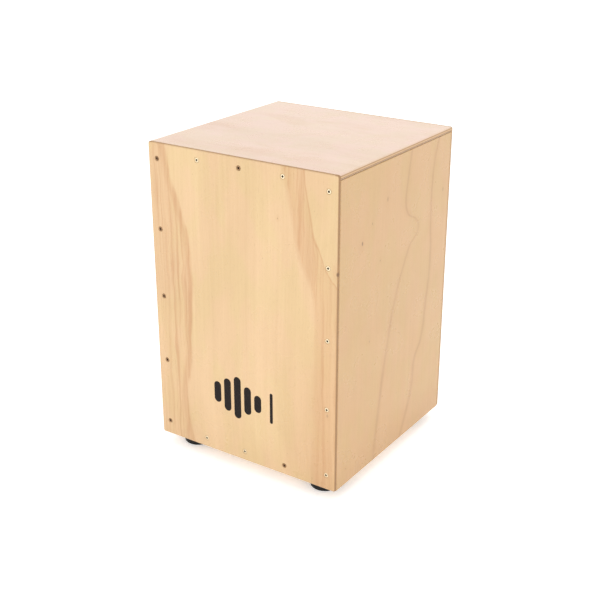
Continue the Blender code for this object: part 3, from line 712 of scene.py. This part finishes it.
def make_playing_plate():
    """The thin front plate, with sixteen countersinks and eased outer edges."""
    faces = (PLATE_LOW.y, PLATE_HIGH.y)
    rim = (PLATE_HIGH.x, PLATE_LOW.z, PLATE_HIGH.z)
    material = plywood("plate_birch", "z", "y", faces, 3, PLATE_FACE, plate_figure, 3.1,
                       PLATE_EDGES, rim=rim, chips=((PLATE_HIGH.x - 0.0005, 0.0935, 0.0024, 0.9),))
    front = PLATE_LOW.y
    roundings = ((lambda a, b: abs(a.y - b.y) > NEAR, CORNER_RADIUS),
                 (lambda a, b: max(a.y, b.y) < front + NEAR, PLATE_ROUNDING))
    plate = board("playing_plate", "front_plate", material, roundings,
                  ((0, INK_THICKNESS, 0), (0, 0, 0)))
    cutters = bmesh.new()
    sink = SCREW_HEAD_RADIUS + SINK_PLAY
    outline = ((0, 0.002), (sink + 0.0004, 0.002), (sink + 0.0004, 0.0), (sink, -0.0005), (0.0019, -0.0026),
               (0.0019, -0.006), (0, -0.006))
    for _, centre in plate_screw_nodes():
        turned_mesh(outline, 32, cutters, upright_matrix(centre))
    subtract(plate, cutters, "sinks")
    flat_faces_stay_flat(plate)


def make_back():
    """The back panel with its round, softly routed sound hole."""
    faces = (BACK_LOW.y, BACK_HIGH.y)
    rim = (BACK_HIGH.x, BACK_LOW.z, BACK_HIGH.z)
    material = plywood("back_birch", "z", "y", faces, 3, BACK_FACE, cloudy_figure, 7.7,
                       BACK_EDGES, rim=rim)
    rear = BACK_HIGH.y
    roundings = ((lambda a, b: abs(a.y - b.y) > NEAR, CORNER_RADIUS),
                 (lambda a, b: min(a.y, b.y) > rear - NEAR, PLATE_ROUNDING))
    back = board("back_board", "back_panel", material, roundings)
    half = (faces[1] - faces[0]) / 2
    mouth = SOUND_HOLE_RADIUS + RIM_ROUNDING
    lower = [(0, -half - 0.002), (mouth, -half - 0.002), (mouth, -half)]
    lower += arc((mouth, -half + RIM_ROUNDING), RIM_ROUNDING, 255, 180, 5)
    outline = lower + [(radius, -height) for radius, height in reversed(lower)]
    middle = (0, (faces[0] + faces[1]) / 2, SOUND_HOLE_Z)
    subtract(back, turned_mesh(outline, 128, None, upright_matrix(middle)), "sound_hole")
    flat_faces_stay_flat(back)


def make_box_panels():
    """Seat, sides and bottom."""
    # the seat's face colour carries painted sheen of the lacquer's reflection
    # the seat's low edge gets painted shade in its joint with the sides
    seat = plywood("seat_birch", "x", "z", (SEAT_LOW.z, SEAT_HIGH.z), 5, SEAT_FACE_AND_SHEEN, cloudy_figure, 5.3,
                   SEAT_EDGES, 0.24, joint_shade=0.0030, streaks=0.6)
    top = SEAT_HIGH.z
    roundings = ((lambda a, b: min(a.z, b.z) > top - NEAR and abs(a.y - b.y) > LONG, SEAT_ROUNDING),
                 (lambda a, b: max(a.z, b.z) < top - 0.005 and abs(a.y - b.y) > LONG, JOINT_CHAMFER))
    piece = board("seat_board", "top_panel", seat, roundings)
    flat_faces_stay_flat(piece)
    for side, sign in SIDES:
        low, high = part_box(f"side_panel_{side}")
        material = plywood(f"side_birch_{side}", "z", "x", (low[0], high[0]), 5, SIDE_FACE, side_figure,
                           11.0 + sign, (EDGE_LIGHT, EDGE_DEEP), streaks=0.8)
        outer = sign * BOX_HIGH.x

        def outer_edges(a, b, outer=outer):
            return abs(a.x - outer) < NEAR and abs(b.x - outer) < NEAR

        piece = board(f"side_board_{side}", f"side_panel_{side}", material,
                      ((outer_edges, JOINT_CHAMFER),))
        flat_faces_stay_flat(piece)
    low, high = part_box("bottom_panel")
    bottom = plywood("bottom_birch", "x", "z", (low[2], high[2]), 5, BOTTOM_FACE, cloudy_figure, 2.2,
                     (EDGE_LIGHT, EDGE_DEEP), 0.45)
    base = board("base_board", "bottom_panel", bottom)
    cutters = bmesh.new()
    for side, _ in SIDES:
        bolt = f"tension_bolt_{side}"
        bolt_low, bolt_high = box_of(bolt)
        radius = (bolt_high.x - bolt_low.x) / 2 + 0.0010
        outline = ((0, -0.002), (radius + 0.0006, -0.002), (radius + 0.0006, 0), (radius, 0.0006),
                   (radius, 0.009), (0, 0.009))
        turned_mesh(outline, 48, cutters, Matrix.Translation(middle_of(bolt, low[2])))
    subtract(base, cutters, "bolt_holes")
    flat_faces_stay_flat(base)


# ---- Screws ----
def cross_recess(mesh_data, top, radius, depth, slot):
    """Add a cross-shaped tapering recess below a head's top, as a cutter."""
    points = []
    for quarter in range(4):
        turn = Matrix.Rotation(math.radians(90 * quarter), 2)
        for corner in ((radius, -slot), (radius, slot), (slot * 1.5, slot * 1.5)):
            points.append(turn @ Vector(corner))
    above = [mesh_data.verts.new((p.x, p.y, top + 0.0005)) for p in points]
    below = [mesh_data.verts.new((p.x * 0.5, p.y * 0.5, top - depth)) for p in points]
    count = len(points)
    for i in range(count):
        k = (i + 1) % count
        mesh_data.faces.new((above[i], above[k], below[k], below[i]))
    mesh_data.faces.new(above)
    mesh_data.faces.new(reversed(below))


def threaded_profile(mesh_data, top, bottom, core, crest, pitch, sides, tip):
    """Add a shank with a helical thread that thins to a point, from top down to bottom."""
    steps_per_turn = 5
    rows = int((top - bottom) / pitch * steps_per_turn)
    rings = []
    for row in range(rows + 1):
        height = top - (top - bottom) * row / rows
        taper = min(1.0, max(0.04, (height - bottom) / tip)) if tip else 1.0
        ring = []
        for i in range(sides):
            turn = i / sides
            phase = (height / pitch - turn) % 1.0
            ridge = max(0.0, 1.0 - abs(phase - 0.5) * 3.2)
            radius = (core + (crest - core) * ridge) * taper
            ring.append(mesh_data.verts.new(on_circle(radius, turn, height)))
        rings.append(ring)
    for upper, lower in zip(rings, rings[1:]):
        for i in range(sides):
            k = (i + 1) % sides
            mesh_data.faces.new((upper[i], lower[i], lower[k], upper[k]))
    mesh_data.faces.new(rings[0])
    mesh_data.faces.new(reversed(rings[-1]))


def screw_pattern(name, head_profile, recess, shank, material):
    """A screw's mesh, head up at height 0: a turned head with a cross recess and a threaded shank."""
    head = turned_mesh(head_profile, 40)
    pattern = finish_mesh(name, head, material, body=None)
    cutter = bmesh.new()
    cross_recess(cutter, **recess)
    subtract(pattern, cutter, name + "_recess")
    whole = bmesh.new()
    whole.from_mesh(pattern.data)
    threaded_profile(whole, **shank)
    mesh = pattern.data.copy()
    mesh.name = name
    whole.to_mesh(mesh)
    whole.free()
    mesh.shade_smooth()
    mesh.set_sharp_from_angle(angle=THREAD_SHARP_ANGLE)
    bpy.data.objects.remove(pattern)
    return mesh


def add_copy(name, mesh, matrix, node):
    """A piece with a shared mesh that stands for one CAD node of the drum."""
    piece = add_object(name, mesh)
    piece.matrix_world = matrix
    place_piece(piece, "drum", (node,))


# screws that take the dark copy of the zinc, with painted shade and no reflection
PAINTED_DARK_SCREWS = ("plate_screw_12", "plate_screw_16")      # besides the left column's


def make_plate_screws():
    """Sixteen countersunk cross-head screws, each turned to a stop of its own."""
    bright = metal("yellow_zinc", (0.86, 0.72, 0.50), 0.34, 0.2, 0.0006)
    # the same zinc darkened and browned: painted shade for heads that catch no reflection
    painted_shade = metal("painted_shade_zinc", (0.36, 0.22, 0.125), 0.45, 0.5, 0.0007)
    radius = SCREW_HEAD_RADIUS
    head = ((0, -0.00005), (radius * 0.82, 0.0), (radius * 0.96, -0.00012), (radius, -0.0003),
            (radius - 0.0001, -0.0005), (0.0015, -0.0021), (0, -0.0021))
    recess = {"top": 0, "radius": 0.0023, "depth": 0.0014, "slot": 0.00055}
    shank = {"top": -0.0020, "bottom": -0.0154, **WOOD_SCREW_THREAD}
    mesh = screw_pattern("plate_screw", head, recess, shank, bright)
    painted_dark_mesh = mesh.copy()
    painted_dark_mesh.name = "plate_screw_painted_dark"
    painted_dark_mesh.materials[0] = painted_shade
    turns = random.Random(16)
    sunk = Vector((0, 0.0004, 0))
    for node, centre in plate_screw_nodes():
        # the left column and the listed screws take the copy with painted shade
        painted_dark = centre.x < -0.1 or node in PAINTED_DARK_SCREWS
        spin = Matrix.Rotation(turns.uniform(0, math.tau), 4, "Z")
        add_copy(node + "_detailed", painted_dark_mesh if painted_dark else mesh, upright_matrix(centre + sunk) @ spin,
                 node)


PAN_RADIUS = 0.0029
PAN_HEIGHT = 0.0017


def make_small_screws():
    """Pan-head screws of the anchor bar and of the slider bracket."""
    material = metal("zinc", (0.55, 0.55, 0.54), 0.34)
    head = [(0, PAN_HEIGHT)] + oval(PAN_RADIUS, PAN_HEIGHT, range(70, -1, -14)) + [(0, 0)]
    recess = {"top": PAN_HEIGHT, "radius": 0.0016, "depth": 0.0011, "slot": 0.00034}
    turns = random.Random(5)
    for length, prefix, flip in ((0.0172, "anchor_screw_", True), (0.009, "bracket_screw_", False)):
        mesh = screw_pattern(prefix + "mesh", head, recess,
                             {"top": 0, "bottom": 0.0003 - length, **WOOD_SCREW_THREAD}, material)
        for node in sorted(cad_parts):
            if not node.startswith(prefix):
                continue
            low, high = box_of(node)
            seat = low.z + PAN_HEIGHT if flip else high.z - PAN_HEIGHT
            matrix = Matrix.Translation(middle_of(node, seat))
            if flip:
                matrix = matrix @ Matrix.Rotation(math.pi, 4, "X")
            matrix = matrix @ Matrix.Rotation(turns.uniform(0, math.tau), 4, "Z")
            add_copy(node + "_detailed", mesh, matrix, node)


# ---- Feet ----
FOOT_NAMES = ("front_left", "front_right", "rear_left", "rear_right")
DOME_RADIUS = 0.0045    # of the foot screws' heads
DOME_HEIGHT = 0.0025
FOOT_HOLE = 0.0022      # radius of the screw's hole in foot and washer
WELL_RADIUS = 0.0075
WELL_DEPTH = 0.0080
SOLE_ROUNDING = 0.0030
SHOULDER_ROUNDING = 0.0016


def make_feet():
    """Rubber feet with a rounded sole, a shallow tread ring, and washer and screw in the well."""
    material = rubber()
    zinc = metal("foot_zinc", (0.58, 0.58, 0.57), 0.30)
    low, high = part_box("foot_front_left")
    radius = (high[0] - low[0]) / 2
    top = high[2]
    outline = [(FOOT_HOLE, WELL_DEPTH), (WELL_RADIUS - 0.0004, WELL_DEPTH),
               (WELL_RADIUS, WELL_DEPTH - 0.0004), (WELL_RADIUS, 0.0010)]
    outline += arc((WELL_RADIUS + 0.0008, 0.0010), 0.0008, 180, 250, 4)
    outline += [(WELL_RADIUS + 0.0010, 0.0), (radius - 0.0095, 0.0), (radius - 0.0090, 0.0007),
                (radius - 0.0078, 0.0007), (radius - 0.0073, 0.0)]
    outline += arc((radius - 0.0042, SOLE_ROUNDING), SOLE_ROUNDING, 270, 345, 8)
    outline += arc((radius - SHOULDER_ROUNDING, top - 0.0024), SHOULDER_ROUNDING, 0, 90, 6)
    outline += [(FOOT_HOLE, top)]
    foot_mesh = shaded_mesh("rubber_foot", turned_mesh(outline, 72), material)
    low_w, high_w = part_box("foot_washer_front_left")
    ring_out = (high_w[0] - low_w[0]) / 2
    ring = [(FOOT_HOLE, low_w[2]), (ring_out - 0.0003, low_w[2]), (ring_out, low_w[2] + 0.0003),
            (ring_out, high_w[2]), (FOOT_HOLE, high_w[2])]
    washer_mesh = shaded_mesh("foot_washer", turned_mesh(ring, 40), zinc)
    low_s, high_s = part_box("foot_screw_front_left")
    head_top = low_s[2] + DOME_HEIGHT
    dome = oval(DOME_RADIUS, DOME_HEIGHT, range(15, 76, 15))
    head = [(0, 0), (DOME_RADIUS, 0)] + dome + [(0, DOME_HEIGHT)]
    length = high_s[2] - head_top
    recess = {"top": DOME_HEIGHT, "radius": 0.0023, "depth": 0.0015, "slot": 0.00048}
    shank = {"top": 0, "bottom": -length, "core": 0.0013, "crest": 0.0018, "pitch": 0.0016, "sides": 20,
             "tip": 0.003}
    screw_mesh = screw_pattern("foot_screw", head[::-1], recess, shank, zinc)
    turns = random.Random(9)
    for name in FOOT_NAMES:
        spot = Matrix.Translation(middle_of(f"foot_{name}"))
        add_copy(f"rubber_foot_{name}", foot_mesh, spot, f"foot_{name}")
        add_copy(f"foot_washer_{name}_detailed", washer_mesh, spot,
                 f"foot_washer_{name}")
        upside_down = Matrix.Rotation(math.pi, 4, "X") @ Matrix.Rotation(turns.uniform(0, math.tau), 4, "Z")
        seat = Matrix.Translation(middle_of(f"foot_{name}", head_top))
        add_copy(f"foot_screw_{name}_detailed", screw_mesh, seat @ upside_down,
                 f"foot_screw_{name}")


# ---- Snare mechanism ----
BOLT_HEAD_HEIGHT = 0.0046
BOLT_SHANK = 0.0026     # radii of the plain shank, the thread's core and crest
BOLT_CORE = 0.00225
BOLT_CREST = 0.0027
BOLT_WASHER_HOLE = 0.0032
HEX_RADIUS = 0.0026     # of the bolt's socket, to a corner
HEX_DEPTH = 0.0028
WIRE_RADIUS = 0.0005    # of a snare string
WRAP_RADII = (0.00055, 0.00078)     # low and high points of the winding at its ends
WRAP_PITCH = 0.0011
WRAP_TURNS = 6


def make_bolts():
    """Socket-head tension bolts with a rolled thread, on their own bodies, and their washers."""
    black = metal("black_oxide", (0.045, 0.045, 0.048), 0.38)
    zinc = bpy.data.materials["zinc"]
    for side, _ in SIDES:
        node = f"tension_bolt_{side}"
        low, high = box_of(node)
        radius = (high.x - low.x) / 2
        centre = middle_of(node)
        head_top = low.z + BOLT_HEAD_HEIGHT
        outline = [(0, low.z), (radius - 0.0005, low.z)] + \
            arc((radius - 0.0005, low.z + 0.0005), 0.0005, 270, 360, 4) + \
            [(radius, head_top - 0.0002), (radius - 0.0002, head_top), (0, head_top)]
        head = finish_mesh(node + "_detailed", turned_mesh(outline, 48), black, None)
        socket = bmesh.new()
        bmesh.ops.create_cone(socket, cap_ends=True, segments=6, radius1=HEX_RADIUS, radius2=HEX_RADIUS,
                              depth=2 * HEX_DEPTH, matrix=Matrix.Translation((0, 0, low.z)))
        subtract(head, socket, node + "_socket")
        whole = bmesh.new()
        whole.from_mesh(head.data)
        thread_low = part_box(f"hook_slider_{side}")[0][2] - 0.010
        shank = ((0, head_top), (BOLT_SHANK, head_top), (BOLT_SHANK, thread_low), (0, thread_low))
        turned_mesh(shank, 24, whole)
        threaded_profile(whole, high.z, thread_low - 0.0005, BOLT_CORE, BOLT_CREST, THREAD_PITCH, 24, 0)
        bmesh.ops.recalc_face_normals(whole, faces=whole.faces)
        whole.to_mesh(head.data)
        whole.free()
        head.data.set_sharp_from_angle(angle=THREAD_SHARP_ANGLE)
        head.location = centre
        place_piece(head, node, (node,))
        washer_low, washer_high = box_of(f"tension_washer_{side}")
        ring_out = (washer_high.x - washer_low.x) / 2
        ring = [(BOLT_WASHER_HOLE, washer_low.z), (ring_out - 0.0002, washer_low.z),
                (ring_out, washer_low.z + 0.0002), (ring_out, washer_high.z),
                (BOLT_WASHER_HOLE, washer_high.z)]
        washer = finish_mesh(f"tension_washer_{side}_detailed", turned_mesh(ring, 40), zinc, None)
        washer.location = centre
        place_piece(washer, "drum", (f"tension_washer_{side}",))


def string_ends(node):
    """Bottom and top ball centre of a string, from its CAD box and the side it leans to."""
    low, high = box_of(node)
    ball = (high.y - low.y) / 2
    outward = 1 if low.x + high.x > 0 else -1
    lean = outward if node.endswith("outer") else -outward
    near, far = (low.x + ball, high.x - ball) if lean > 0 else (high.x - ball, low.x + ball)
    y = (low.y + high.y) / 2
    return Vector((near, y, low.z + ball)), Vector((far, y, high.z - ball)), ball


def make_strings():
    """Drawn steel strings with wound ends and balls."""
    wire = metal("bright_wire", (0.66, 0.66, 0.65), 0.22)
    for side, _ in SIDES:
        for place in ("inner", "outer"):
            node = f"snare_string_{side}_{place}"
            bottom, top, ball = string_ends(node)
            length = (top - bottom).length
            ball_arc = arc((0, 0), ball, -90, 62, 10)
            wrap = []
            for turn in range(WRAP_TURNS):
                height = ball * 0.95 + turn * WRAP_PITCH
                wrap += [(WRAP_RADII[0], height), (WRAP_RADII[1], height + WRAP_PITCH / 2)]
            lower = [(0, -ball)] + ball_arc[1:] + wrap
            lower.append((WIRE_RADIUS, ball * 0.95 + WRAP_TURNS * WRAP_PITCH))
            middle = [(WIRE_RADIUS, length * step / 24) for step in range(1, 24)]
            upper = [(radius, length - height) for radius, height in reversed(lower)]
            turn = Vector((0, 0, 1)).rotation_difference(top - bottom).to_matrix().to_4x4()
            mesh_data = turned_mesh(lower + middle + upper, 16, None, Matrix.Translation(bottom) @ turn)
            string = finish_mesh(node + "_wire", mesh_data, wire, None)
            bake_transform(string)
            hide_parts(node)


def reuse_cad(node, material):
    """Keep a CAD node's shape and give it a finished material."""
    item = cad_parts[node]
    if not item.material_slots:
        item.data.materials.append(None)
    for slot in item.material_slots:
        slot.material = material


def make_inner_parts():
    """Battens, anchor bar, bracket and sliders keep their CAD shapes."""
    spruce = srgb(216, 176, 126)
    spruce_dark = srgb(178, 130, 84)
    upright = solid_wood("spruce_upright", "z", spruce, spruce_dark, 4.0)
    lying = solid_wood("spruce_lying", "x", spruce, spruce_dark, 6.0)
    beech = solid_wood("beech", "x", srgb(176, 124, 84), srgb(142, 92, 60), 9.0, 90.0)
    for place in ("front", "rear"):
        for side in ("left", "right"):
            reuse_cad(f"{place}_batten_{side}", upright)
        for level in ("top", "bottom"):
            reuse_cad(f"{place}_batten_{level}", lying)
    reuse_cad("string_anchor_bar", beech)
    reuse_cad("slider_bracket", metal("zinc_sheet", (0.56, 0.57, 0.58), 0.32))
    brass = metal("machined_brass", (0.72, 0.52, 0.22), 0.26)
    for side, _ in SIDES:
        reuse_cad(f"hook_slider_{side}", brass)


# ---- Printed mark ----
MARK_MIDDLE_Z = BODY_BOTTOM + 0.096
MARK_LEFT = -0.0445             # the first bar's middle
BAR_STEP = 0.0172
BAR_WIDTH = 0.0118
BAR_HEIGHTS = (0.032, 0.050, 0.064, 0.042, 0.026)
THIN_BAR = (0.0470, 0.0048, 0.046)      # middle, width, height


def make_mark():
    """A plain printed mark: upright round-ended bars of different heights, and one thin bar."""
    bars = [(MARK_LEFT + BAR_STEP * number, BAR_WIDTH, height) for number, height in enumerate(BAR_HEIGHTS)]
    bars.append(THIN_BAR)
    mesh_data = bmesh.new()
    front = PLATE_LOW.y
    for centre_x, width, height in bars:
        radius = width / 2
        reach = height / 2 - radius
        outline = arc((centre_x, MARK_MIDDLE_Z + reach), radius, 0, 180, 16)
        outline += arc((centre_x, MARK_MIDDLE_Z - reach), radius, 180, 360, 16)
        near = [mesh_data.verts.new((x, front, z)) for x, z in outline]
        far = [mesh_data.verts.new((x, front + INK_THICKNESS * 1.5, z)) for x, z in outline]
        mesh_data.faces.new(near)
        mesh_data.faces.new(reversed(far))
        for i in range(len(outline)):
            k = (i + 1) % len(outline)
            mesh_data.faces.new((near[k], near[i], far[i], far[k]))
    finish_mesh("printed_mark", mesh_data, ink())


# ---- Stage ----
def make_floor():
    """A wide pale floor, faintly lit from below like a studio light table."""
    graph = Graph("pale_floor", roughness=0.9, specular=0.1)
    tint = graph.noise(graph.place, 3.0, 2.0)
    graph.colour(graph.mix(tint, (0.93, 0.93, 0.93), (0.96, 0.96, 0.96)))
    graph.shader.inputs["Emission Color"].default_value = (1.0, 1.0, 1.0, 1.0)
    graph.shader.inputs["Emission Strength"].default_value = 0.36
    mesh_data = bmesh.new()
    bmesh.ops.create_grid(mesh_data, x_segments=2, y_segments=2, size=30.0)
    floor = add_object("floor", mesh_from("floor", mesh_data))
    floor.data.materials.append(graph.material)


def add_area_light(name, place, target, size, power):
    """A square soft light that points at a target."""
    data = bpy.data.lights.new(name, "AREA")
    data.size = size
    data.energy = power
    light = add_object(name, data)
    light.location = place
    light.rotation_euler = (Vector(target) - Vector(place)).to_track_quat("-Z", "Y").to_euler()


def make_light():
    """White surroundings and three large soft lights."""
    world = bpy.data.worlds.new("studio")
    world.use_nodes = True
    background = world.node_tree.nodes["Background"]
    background.inputs["Color"].default_value = (1.0, 1.0, 1.0, 1.0)
    background.inputs["Strength"].default_value = 1.0
    scene = bpy.context.scene
    scene.world = world
    scene.view_settings.view_transform = "Standard"
    scene.view_settings.look = "None"
    middle = (0, 0, 0.23)
    add_area_light("key_light", (-0.9, -2.2, 1.6), middle, 1.6, 13.0)
    add_area_light("top_light", (0.2, 0.7, 2.2), middle, 1.6, 9.0)
    add_area_light("side_light", (2.4, 0.2, 1.0), middle, 1.4, 2.0)


def make_camera():
    """The photograph's view: from the front right, a little above."""
    data = bpy.data.cameras.new("camera")
    data.sensor_width = 36.0
    data.lens = CAMERA_LENS
    data.clip_start = 0.05
    data.clip_end = 100.0
    camera = add_object("camera", data)
    camera.location = CAMERA_PLACE
    look = Vector(CAMERA_TARGET) - Vector(CAMERA_PLACE)
    camera.rotation_euler = look.to_track_quat("-Z", "Y").to_euler()
    bpy.context.scene.camera = camera


make_camera()
make_light()
make_floor()
make_playing_plate()
make_back()
make_box_panels()
make_mark()
make_plate_screws()
make_small_screws()
make_feet()
make_inner_parts()
make_bolts()
make_strings()
